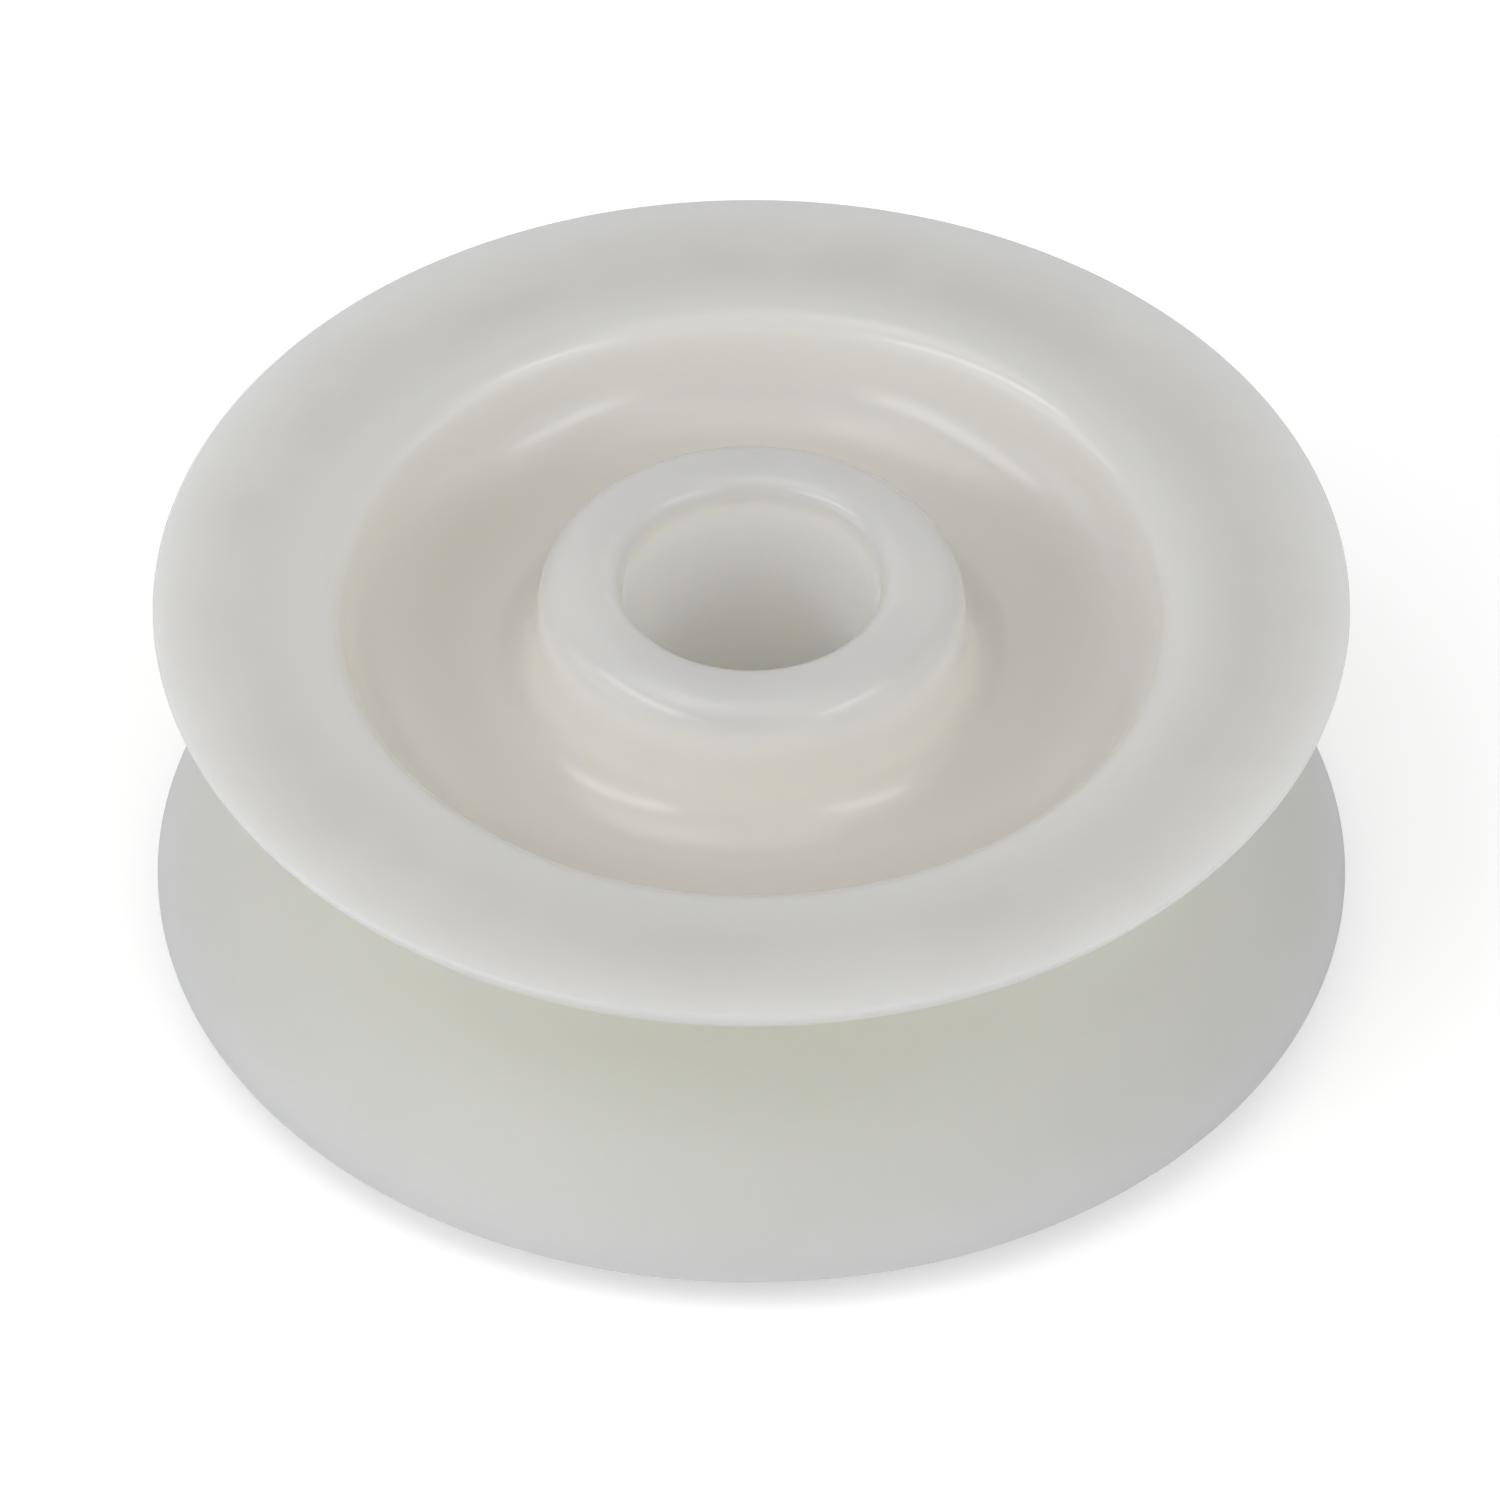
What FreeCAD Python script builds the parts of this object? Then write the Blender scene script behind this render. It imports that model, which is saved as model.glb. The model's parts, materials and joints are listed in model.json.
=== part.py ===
import FreeCAD, Part
import math
import os

# Wire rope sheave, injection moulded in one piece from natural nylon.
# Lengths are millimetres and angles are degrees.
# The bore runs along +Z, and the origin is on its axis at mid width.
# Radial places are r, heights are z, and the lower half mirrors the upper half.

# Rim
outside_diameter = 60.0
rim_width = 18.4            # across the outer edges of the two flanges
rim_face_width = 8.9        # from the outer edge in to the ridge round the recess
rim_face_rise = 0.45        # how far the ridge stands above the outer edge
rim_edge_radius = 0.15      # the crisp outer edge of the face
ridge_radius = 1.9          # the soft inner edge of the face

# Rope groove
lip_land = 0.1              # straight outer wall beside the rim face
lip_lean = 26.0             # how far that wall leans in under the rim face
lip_radius = 4.5            # flares the flank out to the lip
groove_angle = 78.0         # between the two flanks
groove_root_radius = 5.0    # seats the rope

# Recess round the hub, one on each side of the web
web_thickness = 8.0
recess_wall_lean = 20.0     # how far the recess wall leans out from the axis
recess_fillet = 5.5         # large, so that the recess is a dish

# Hub
hub_diameter = 21.2         # at the end faces
hub_length = 22.6
hub_draft = 3.0
hub_edge_radius = 2.4
hub_fillet = 3.6

# Bore for the axle
bore_diameter = 13.0
bore_edge_radius = 1.2

# A corner's arc never takes the whole of a side
usable_side = 0.98


def point(r, z):
    return FreeCAD.Vector(r, 0.0, z)


def slope(angle):
    return math.tan(math.radians(angle))


def hub_corners():
    top = hub_length / 2
    floor = web_thickness / 2
    hub_radius = hub_diameter / 2
    base_radius = hub_radius + (top - floor) * slope(hub_draft)
    return [
        (point(bore_diameter / 2, top), bore_edge_radius),
        (point(hub_radius, top), hub_edge_radius),
        (point(base_radius, floor), hub_fillet),
    ]


def recess_corners():
    floor = web_thickness / 2
    ridge_height = rim_width / 2 + rim_face_rise
    ridge = outside_diameter / 2 - rim_face_width
    floor_edge = ridge - (ridge_height - floor) * slope(recess_wall_lean)
    return [
        (point(floor_edge, floor), recess_fillet),
        (point(ridge, ridge_height), ridge_radius),
    ]


def lip_corners():
    """The sharp outer edge lies outside the wheel, so that its rounding ends at the outside diameter."""
    face = rim_width / 2
    edge_reach = rim_edge_radius / slope((90 - lip_lean) / 2)
    edge = outside_diameter / 2 - rim_edge_radius + edge_reach
    turn = 90 - groove_angle / 2 - lip_lean
    wall = edge_reach + lip_land + lip_radius * slope(turn / 2)
    down = wall * math.cos(math.radians(lip_lean))
    return [
        (point(edge, face), rim_edge_radius),
        (point(edge - down * slope(lip_lean), face - down), lip_radius),
    ]


def groove_root_corner():
    """The flanks, drawn on from the lips, meet here before the root is rounded."""
    lip = lip_corners()[-1][0]
    return (point(lip.x - lip.z / slope(groove_angle / 2), 0.0), groove_root_radius)


def section_corners():
    upper = hub_corners() + recess_corners() + lip_corners()
    lower = [(point(place.x, -place.z), radius) for place, radius in reversed(upper)]
    return upper + [groove_root_corner()] + lower


def half_angles(corners):
    """Half of the angle inside each corner."""
    halves = []
    for index, (place, radius) in enumerate(corners):
        back = corners[index - 1][0] - place
        ahead = corners[(index + 1) % len(corners)][0] - place
        halves.append(back.getAngle(ahead) / 2)
    return halves


def usable_reaches(corners):
    """How far each arc reaches along its two sides, kept within what the sides can share."""
    count = len(corners)
    wanted = [radius / math.tan(half) for (place, radius), half in zip(corners, half_angles(corners))]
    sides = [(corners[(index + 1) % count][0] - corners[index][0]).Length for index in range(count)]
    shares = []
    for index in range(count):
        both = wanted[index] + wanted[(index + 1) % count]
        shares.append(min(1.0, usable_side * sides[index] / both))
    return [wanted[index] * min(shares[index - 1], shares[index]) for index in range(count)]


def corner_arc(place, before, after, half, reach):
    back = (before - place).normalize()
    ahead = (after - place).normalize()
    inward = (back + ahead).normalize()
    radius = reach * math.tan(half)
    middle = place + inward * (radius / math.sin(half) - radius)
    return Part.Arc(place + back * reach, middle, place + ahead * reach)


def rounded_outline(corners):
    """A closed wire of straight sides, joined by an arc at each corner."""
    count = len(corners)
    halves = half_angles(corners)
    reaches = usable_reaches(corners)
    arcs = []
    for index in range(count):
        place = corners[index][0]
        before = corners[index - 1][0]
        after = corners[(index + 1) % count][0]
        arcs.append(corner_arc(place, before, after, halves[index], reaches[index]))
    edges = []
    for index, arc in enumerate(arcs):
        following = arcs[(index + 1) % count]
        edges.append(arc.toShape())
        edges.append(Part.LineSegment(arc.EndPoint, following.StartPoint).toShape())
    return Part.Wire(edges)


def sheave():
    section = Part.Face(rounded_outline(section_corners()))
    return section.revolve(FreeCAD.Vector(0, 0, 0), FreeCAD.Vector(0, 0, 1), 360)


os.makedirs("parts", exist_ok=True)
sheave().exportStep("parts/sheave.step")
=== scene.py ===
import json
import math

import bpy
from mathutils import Matrix, Vector


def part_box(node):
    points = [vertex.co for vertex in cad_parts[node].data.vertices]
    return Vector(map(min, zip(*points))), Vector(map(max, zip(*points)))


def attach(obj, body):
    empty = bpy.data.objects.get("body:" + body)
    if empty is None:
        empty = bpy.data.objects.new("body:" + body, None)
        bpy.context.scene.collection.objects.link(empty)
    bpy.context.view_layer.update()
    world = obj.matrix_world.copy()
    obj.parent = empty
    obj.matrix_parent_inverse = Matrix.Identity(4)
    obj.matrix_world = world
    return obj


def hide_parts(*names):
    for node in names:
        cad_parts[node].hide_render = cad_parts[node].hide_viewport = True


# Wire rope sheave, injection moulded in one piece from natural nylon, lying on its lower hub face.
# Named sizes are millimetres and angles degrees; mm() turns a size into the scene's metres.
# The bore runs along +Z, with the origin on its axis at mid width.

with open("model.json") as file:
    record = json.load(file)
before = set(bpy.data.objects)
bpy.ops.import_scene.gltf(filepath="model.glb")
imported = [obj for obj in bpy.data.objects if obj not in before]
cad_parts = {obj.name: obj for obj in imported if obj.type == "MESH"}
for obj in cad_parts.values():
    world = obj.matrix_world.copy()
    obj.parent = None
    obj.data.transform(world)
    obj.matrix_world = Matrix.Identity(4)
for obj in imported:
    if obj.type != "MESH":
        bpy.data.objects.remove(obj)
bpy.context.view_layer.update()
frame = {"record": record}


def mm(size):
    return size / 1000


# Sizes that the frame gives
wheel_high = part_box("sheave")[1]
mounts = {mount["name"]: mount for mount in frame["record"]["mounts"]}
outside_radius = wheel_high.x / mm(1)
hub_top = wheel_high.z / mm(1)
bore_radius = mounts["bore"]["dims"]["r_mm"]

# Rim
rim_width = 18.4
rim_face_width = 8.9
rim_face_rise = 0.45
rim_edge_radius = 0.15
ridge_radius = 1.9

# Rope groove
lip_land = 0.1
lip_lean = 26.0
lip_radius = 4.5
groove_angle = 78.0
groove_root_radius = 5.0

# Recess round the hub
web_thickness = 8.0
recess_wall_lean = 20.0
recess_fillet = 5.5

# Hub and bore
hub_radius = 10.6
hub_draft = 3.0
hub_edge_radius = 2.4
hub_fillet = 3.6
bore_edge_radius = 1.2

# How finely the section is drawn and turned, and how near two points lie that are merged
arc_step = 8.0
fewest_arc_steps = 3
longest_edge = 0.7
wheel_steps = 288
same_point = 0.001
start_square = 1.0

# Natural PA6 nylon as it leaves the mould: milky off-white, with clouds a shade apart that come in
# between two values of a noise. Light soaks in about as far as the reach, red deeper than blue.
body_colour = "CBCBCB"
cloud_colour = "CFCFCE"
cloud_size = 9.0
cloud_detail = 2.0
cloud_edges = (0.35, 0.65)
nylon_ior = 1.53
scatter_share = 1.0
scatter_reach = 10.0
scatter_tint = (1.0, 0.92, 0.75)

# The mould's polish varies in small patches, and shrinkage leaves shallow waves
polish_roughness = (0.17, 0.25)
polish_patch = 3.0
polish_detail = 1.0
wave_length = 6.0
wave_depth = 0.08
wave_detail = 0.0

# Painted light: in these zones the nylon is drawn lighter and warmer than it is. This painted glow
# on the ridge, recess floor, recess walls, hub side, bore and groove stands in for light soaking
# through thin walls and filling the hollows. Each zone is given by distance from the bore axis,
# height above or below mid width, and slope, which is 1 on a level face and 0 on an upright wall.
# There is none of the painted tone at the first value of a pair, and all of it from the second on.
# Where zones overlap, the later one covers the earlier.
painted_light_zones = {
    "ridge": (
        "D3D3D1",
        [("distance", (25.5, 22.0)), ("distance", (14.0, 16.0)), ("height", (7.0, 9.0))],
    ),
    "recess": ("DEDBD4", [("distance", (23.0, 21.1)), ("height", (8.0, 3.5))]),
    "wall": (
        "E1E0DC",
        [("distance", (24.0, 22.0)), ("distance", (14.0, 17.0)), ("slope", (0.99, 0.4))],
    ),
    "hub": (
        "ECE9E3",
        [("distance", (14.6, 12.0)), ("height", (10.9, 8.9)), ("slope", (1.0, 0.3))],
    ),
    # The bore is painted nearly white, as painted light deep inside it
    "bore": ("FFFCF4", [("distance", (7.3, 6.6)), ("height", (10.9, 8.5))]),
    "groove": ("E3E3D9", [("distance", (21.1, 23.0)), ("height", (10.5, 2.0))]),
}

# The groove comes matt out of the mould, from the crisp edge of the rim inwards
matt_groove = [("distance", (21.1, 23.0)), ("height", (9.2, 9.05))]
matt_roughness = 0.5

# Brightness, where 1 is white: of the room as a light, and of the room as it is seen
room_strength = 0.335
backdrop_strength = 1.0
room_colour = "FFFFFF"

# The table, with the brightness that is added to its paint where it is seen, and its size in metres
table_lift = 0.4
table_colour = "F4F4F4"
table_size = 6.0

# Soft boxes, all at one distance in metres from the origin: azimuth from +X towards +Y, elevation,
# width and height in metres, and brightness, where 1 is white
lamp_distance = 0.6
soft_boxes = {
    "left_box": (208, 35, 0.50, 0.12, 3.4),
    "right_box": (325, 36, 0.30, 0.08, 3.6),
    "right_soft_box": (328, 38, 0.50, 0.40, 0.5),
    "left_low_box": (192, 14, 0.50, 0.20, 0.9),
    "right_low_box": (348, 14, 0.50, 0.20, 0.4),
    "front_left_box": (232, 22, 0.40, 0.20, 0.15),
    "front_right_box": (308, 22, 0.40, 0.20, 0.45),
    "high_left_box": (200, 62, 0.34, 0.30, 1.2),
    "front_top_box": (270, 68, 0.50, 0.40, 0.8),
    "back_left_box": (125, 36, 0.50, 0.30, 0.2),
    "back_right_box": (55, 36, 0.50, 0.30, 0.2),
}

# Camera, as the photograph was taken: from well above and far away, with a long lens
camera_elevation = 43.39
camera_distance = 1500.0
camera_lens = 715.0
camera_aim = (-0.07, 0.0, -0.99)
camera_near = 10.0
camera_far = 20000.0


def slope(angle):
    return math.tan(math.radians(angle))


def place(r, z):
    return Vector((mm(r), 0.0, mm(z)))


# Section of the wheel

def hub_corners():
    floor = web_thickness / 2
    base_radius = hub_radius + (hub_top - floor) * slope(hub_draft)
    return [
        (place(bore_radius, hub_top), mm(bore_edge_radius)),
        (place(hub_radius, hub_top), mm(hub_edge_radius)),
        (place(base_radius, floor), mm(hub_fillet)),
    ]


def recess_corners():
    floor = web_thickness / 2
    ridge_height = rim_width / 2 + rim_face_rise
    ridge = outside_radius - rim_face_width
    floor_edge = ridge - (ridge_height - floor) * slope(recess_wall_lean)
    return [
        (place(floor_edge, floor), mm(recess_fillet)),
        (place(ridge, ridge_height), mm(ridge_radius)),
    ]


def lip_corners():
    """The sharp outer edge lies outside the wheel, so its rounding ends at the outside radius."""
    face = rim_width / 2
    edge_reach = rim_edge_radius / slope((90 - lip_lean) / 2)
    edge = outside_radius - rim_edge_radius + edge_reach
    turn = 90 - groove_angle / 2 - lip_lean
    wall = edge_reach + lip_land + lip_radius * slope(turn / 2)
    down = wall * math.cos(math.radians(lip_lean))
    return [
        (place(edge, face), mm(rim_edge_radius)),
        (place(edge - down * slope(lip_lean), face - down), mm(lip_radius)),
    ]


def groove_root_corner():
    """The flanks, drawn on from the lips, meet here before the root is rounded."""
    lip = lip_corners()[-1][0]
    return (Vector((lip.x - lip.z / slope(groove_angle / 2), 0.0, 0.0)), mm(groove_root_radius))


def section_corners():
    upper = hub_corners() + recess_corners() + lip_corners()
    lower = [(Vector((corner.x, 0.0, -corner.z)), radius) for corner, radius in reversed(upper)]
    return upper + [groove_root_corner()] + lower


def corner_arcs(corners):
    """The start, centre, axis and turn of the arc that rounds each corner, and its end."""
    arcs = []
    for index, (corner, radius) in enumerate(corners):
        back = (corners[index - 1][0] - corner).normalized()
        ahead = (corners[(index + 1) % len(corners)][0] - corner).normalized()
        half = back.angle(ahead) / 2
        reach = radius / math.tan(half)
        start = corner + back * reach
        end = corner + ahead * reach
        centre = corner + (back + ahead).normalized() * radius / math.sin(half)
        axis = (end - centre).cross(start - centre).normalized()
        arcs.append((start, centre, axis, math.pi - 2 * half, end))
    return arcs


# Modelling, as on a lathe

def start_point(at):
    """Begin a mesh as one selected point: a small square merged to its middle."""
    bpy.ops.object.select_all(action="DESELECT")
    bpy.ops.mesh.primitive_plane_add(size=mm(start_square), location=(0, 0, 0))
    piece = bpy.context.object
    bpy.ops.object.mode_set(mode="EDIT")
    bpy.ops.mesh.select_all(action="SELECT")
    bpy.ops.mesh.merge(type="CENTER")
    bpy.ops.transform.translate(value=at)
    return piece


def draw_straight(start, end):
    """Extrude the selected point along a straight stretch, in short edges that shade evenly."""
    edges = max(1, math.ceil((end - start).length / mm(longest_edge)))
    move = {"value": (end - start) / edges}
    for edge in range(edges):
        bpy.ops.mesh.extrude_vertices_move(TRANSFORM_OT_translate=move)


def draw_arc(centre, axis, turn):
    """Spin the selected point round an arc's centre."""
    steps = max(fewest_arc_steps, math.ceil(math.degrees(turn) / arc_step))
    bpy.ops.mesh.spin(steps=steps, angle=turn, center=centre, axis=axis)


def turned_piece(name, corners):
    """Draw the section and spin it round the bore axis."""
    arcs = corner_arcs(corners)
    starts = [arc[0] for arc in arcs]
    piece = start_point(starts[0])
    for (start, centre, axis, turn, end), next_start in zip(arcs, starts[1:] + starts[:1]):
        draw_arc(centre, axis, turn)
        draw_straight(end, next_start)
    bpy.ops.mesh.select_all(action="SELECT")
    bpy.ops.mesh.remove_doubles(threshold=mm(same_point))
    bpy.ops.mesh.spin(steps=wheel_steps, angle=math.tau, center=(0, 0, 0), axis=(0, 0, 1))
    bpy.ops.mesh.select_all(action="SELECT")
    bpy.ops.mesh.remove_doubles(threshold=mm(same_point))
    bpy.ops.mesh.normals_make_consistent(inside=False)
    bpy.ops.object.mode_set(mode="OBJECT")
    bpy.ops.object.shade_smooth()
    piece.name = name
    return piece


# Materials

def linear(hex_colour):
    """An sRGB hex colour as linear RGBA."""
    channels = [int(hex_colour[i:i + 2], 16) / 255 for i in (0, 2, 4)]
    lights = [c / 12.92 if c <= 0.04045 else ((c + 0.055) / 1.055) ** 2.4 for c in channels]
    return (*lights, 1.0)


def add_node(tree, kind, settings=None, links=None):
    """Add a node, set its properties and inputs by name or number, and link its inputs."""
    node = tree.nodes.new(kind)
    for key, value in (settings or {}).items():
        if isinstance(key, str) and hasattr(node, key):
            setattr(node, key, value)
        else:
            node.inputs[key].default_value = value
    for key, socket in (links or {}).items():
        tree.links.new(socket, node.inputs[key])
    return node


def place_on_wheel(tree, coordinates, position):
    """Distance from the bore axis and height above or below mid width, in mm, and the slope."""
    level = {"operation": "MULTIPLY", 1: (1, 1, 0)}
    across = add_node(tree, "ShaderNodeVectorMath", level, {0: position}).outputs["Vector"]
    distance = add_node(tree, "ShaderNodeVectorMath", {"operation": "LENGTH"}, {0: across})
    measures = {"distance": distance.outputs["Value"]}
    for measure, vector in (("height", position), ("slope", coordinates.outputs["Normal"])):
        upright = add_node(tree, "ShaderNodeSeparateXYZ", links={"Vector": vector}).outputs["Z"]
        size = add_node(tree, "ShaderNodeMath", {"operation": "ABSOLUTE"}, {0: upright})
        measures[measure] = size.outputs[0]
    return measures


def share_in_zone(tree, measures, edges):
    """1 well inside a zone and 0 outside it, with soft edges."""
    share = None
    for measure, (outside, inside) in edges:
        soft = {"interpolation_type": "SMOOTHSTEP", "From Min": outside, "From Max": inside}
        edge = add_node(tree, "ShaderNodeMapRange", soft, {"Value": measures[measure]})
        if share is None:
            share = edge.outputs["Result"]
        else:
            both = {0: share, 1: edge.outputs["Result"]}
            share = add_node(tree, "ShaderNodeMath", {"operation": "MULTIPLY"}, both).outputs[0]
    return share


def moulded_nylon():
    """Natural PA6 nylon, injection moulded: milky off-white, satin, and a little translucent, with
    painted light in lighter, warmer zones in the hollows, bore and groove.
    """
    material = bpy.data.materials.new("moulded_nylon")
    material.use_nodes = True
    tree = material.node_tree
    shader = tree.nodes["Principled BSDF"]
    shader.inputs["IOR"].default_value = nylon_ior
    shader.inputs["Subsurface Weight"].default_value = scatter_share
    shader.inputs["Subsurface Radius"].default_value = scatter_tint
    shader.inputs["Subsurface Scale"].default_value = mm(scatter_reach)

    coordinates = add_node(tree, "ShaderNodeTexCoord")
    in_mm = {"operation": "SCALE", "Scale": 1 / mm(1)}
    scaled = add_node(tree, "ShaderNodeVectorMath", in_mm, {0: coordinates.outputs["Object"]})
    position = scaled.outputs["Vector"]
    measures = place_on_wheel(tree, coordinates, position)

    # Milky clouds
    noise = {"Scale": 1 / cloud_size, "Detail": cloud_detail}
    clouds = add_node(tree, "ShaderNodeTexNoise", noise, {"Vector": position}).outputs[0]
    cloudy = share_in_zone(tree, {"cloud": clouds}, [("cloud", cloud_edges)])
    two_shades = {"data_type": "RGBA", "A": linear(body_colour), "B": linear(cloud_colour)}
    colour = add_node(tree, "ShaderNodeMix", two_shades, {"Factor": cloudy}).outputs["Result"]

    # Uneven polish, and the matt groove
    noise = {"Scale": 1 / polish_patch, "Detail": polish_detail}
    patches = add_node(tree, "ShaderNodeTexNoise", noise, {"Vector": position}).outputs[0]
    polish = {"To Min": polish_roughness[0], "To Max": polish_roughness[1]}
    satin = add_node(tree, "ShaderNodeMapRange", polish, {"Value": patches}).outputs["Result"]
    groove = share_in_zone(tree, measures, matt_groove)
    matt = {"data_type": "FLOAT", "B": matt_roughness}
    finish = add_node(tree, "ShaderNodeMix", matt, {"Factor": groove, "A": satin})

    # Painted light: zones drawn lighter and warmer, standing in for light that soaks through and
    # fills the hollows
    for tint, edges in painted_light_zones.values():
        over = {"Factor": share_in_zone(tree, measures, edges), "A": colour}
        painted_light_mix = {"data_type": "RGBA", "B": linear(tint)}
        colour = add_node(tree, "ShaderNodeMix", painted_light_mix, over).outputs["Result"]
    tree.links.new(colour, shader.inputs["Base Color"])
    tree.links.new(finish.outputs["Result"], shader.inputs["Roughness"])

    # Shallow waves
    noise = {"Scale": 1 / wave_length, "Detail": wave_detail}
    waves = add_node(tree, "ShaderNodeTexNoise", noise, {"Vector": position}).outputs[0]
    bump = add_node(tree, "ShaderNodeBump", {"Distance": mm(wave_depth)}, {"Height": waves})
    tree.links.new(bump.outputs["Normal"], shader.inputs["Normal"])
    return material


def seen_plainly(tree):
    """1 for what the camera sees straight, or in a glossy or clear surface."""
    path = add_node(tree, "ShaderNodeLightPath")
    seen = path.outputs["Is Camera Ray"]
    for ray in ("Is Glossy Ray", "Is Transmission Ray"):
        either = {0: seen, 1: path.outputs[ray]}
        seen = add_node(tree, "ShaderNodeMath", {"operation": "MAXIMUM"}, either).outputs[0]
    return seen


def white_table():
    """Matt white paint: it shows white where it is lit, and keeps the wheel's soft shadow."""
    material = bpy.data.materials.new("white_table_paint")
    material.use_nodes = True
    tree = material.node_tree
    tree.nodes.remove(tree.nodes["Principled BSDF"])
    paint = add_node(tree, "ShaderNodeBsdfDiffuse", {"Color": linear(table_colour)})
    lift = add_node(tree, "ShaderNodeEmission", {"Strength": table_lift})
    lifted = add_node(tree, "ShaderNodeAddShader", links={0: paint.outputs[0], 1: lift.outputs[0]})
    either = {0: seen_plainly(tree), 1: paint.outputs[0], 2: lifted.outputs[0]}
    seen = add_node(tree, "ShaderNodeMixShader", links=either)
    tree.links.new(seen.outputs[0], tree.nodes["Material Output"].inputs["Surface"])
    return material


# Stage, light and camera

def table():
    bpy.ops.object.select_all(action="DESELECT")
    bpy.ops.mesh.primitive_plane_add(size=table_size, location=(0, 0, mm(-hub_top)))
    top = bpy.context.object
    top.name = "table_top"
    top.data.materials.append(white_table())


def surroundings():
    """A white room that lights softly, and looks fully white where it is seen or mirrored."""
    world = bpy.data.worlds.new("white_room")
    bpy.context.scene.world = world
    world.use_nodes = True
    tree = world.node_tree
    white = linear(room_colour)
    room = tree.nodes["Background"]
    room.inputs["Color"].default_value = white
    room.inputs["Strength"].default_value = room_strength
    plain_white = {"Color": white, "Strength": backdrop_strength}
    backdrop = add_node(tree, "ShaderNodeBackground", plain_white)
    either = {0: seen_plainly(tree), 1: room.outputs[0], 2: backdrop.outputs[0]}
    seen = add_node(tree, "ShaderNodeMixShader", links=either)
    tree.links.new(seen.outputs[0], tree.nodes["World Output"].inputs["Surface"])


def soft_box(name, azimuth, elevation, width, height, brightness):
    """A flat lamp that faces the wheel; at brightness 1 its face is as bright as white."""
    lamp = bpy.data.lights.new(name, "AREA")
    lamp.shape = "RECTANGLE"
    lamp.size = width
    lamp.size_y = height
    lamp.energy = math.pi * width * height * brightness
    box = bpy.data.objects.new(name, lamp)
    bpy.context.scene.collection.objects.link(box)
    turn, lift = math.radians(azimuth), math.radians(elevation)
    reach = math.cos(lift)
    towards = Vector((math.cos(turn) * reach, math.sin(turn) * reach, math.sin(lift)))
    facing = towards.to_track_quat("Z", "Y").to_matrix().to_4x4()
    box.matrix_world = Matrix.Translation(towards * lamp_distance) @ facing


def camera():
    lens = bpy.data.cameras.new("camera")
    lens.lens = camera_lens
    lens.clip_start = mm(camera_near)
    lens.clip_end = mm(camera_far)
    holder = bpy.data.objects.new("camera", lens)
    bpy.context.scene.collection.objects.link(holder)
    aim = Vector([mm(size) for size in camera_aim])
    tilt = math.radians(camera_elevation)
    back = Vector((0.0, -math.cos(tilt), math.sin(tilt)))
    turn = back.to_track_quat("Z", "Y").to_matrix().to_4x4()
    holder.matrix_world = Matrix.Translation(aim + back * mm(camera_distance)) @ turn
    bpy.context.scene.camera = holder


camera()
table()
surroundings()
for name, placing in soft_boxes.items():
    soft_box(name, *placing)

sheave = turned_piece("sheave_body", section_corners())
sheave.data.materials.append(moulded_nylon())
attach(sheave, "root")
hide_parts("sheave")

bpy.context.scene.view_settings.view_transform = "Standard"
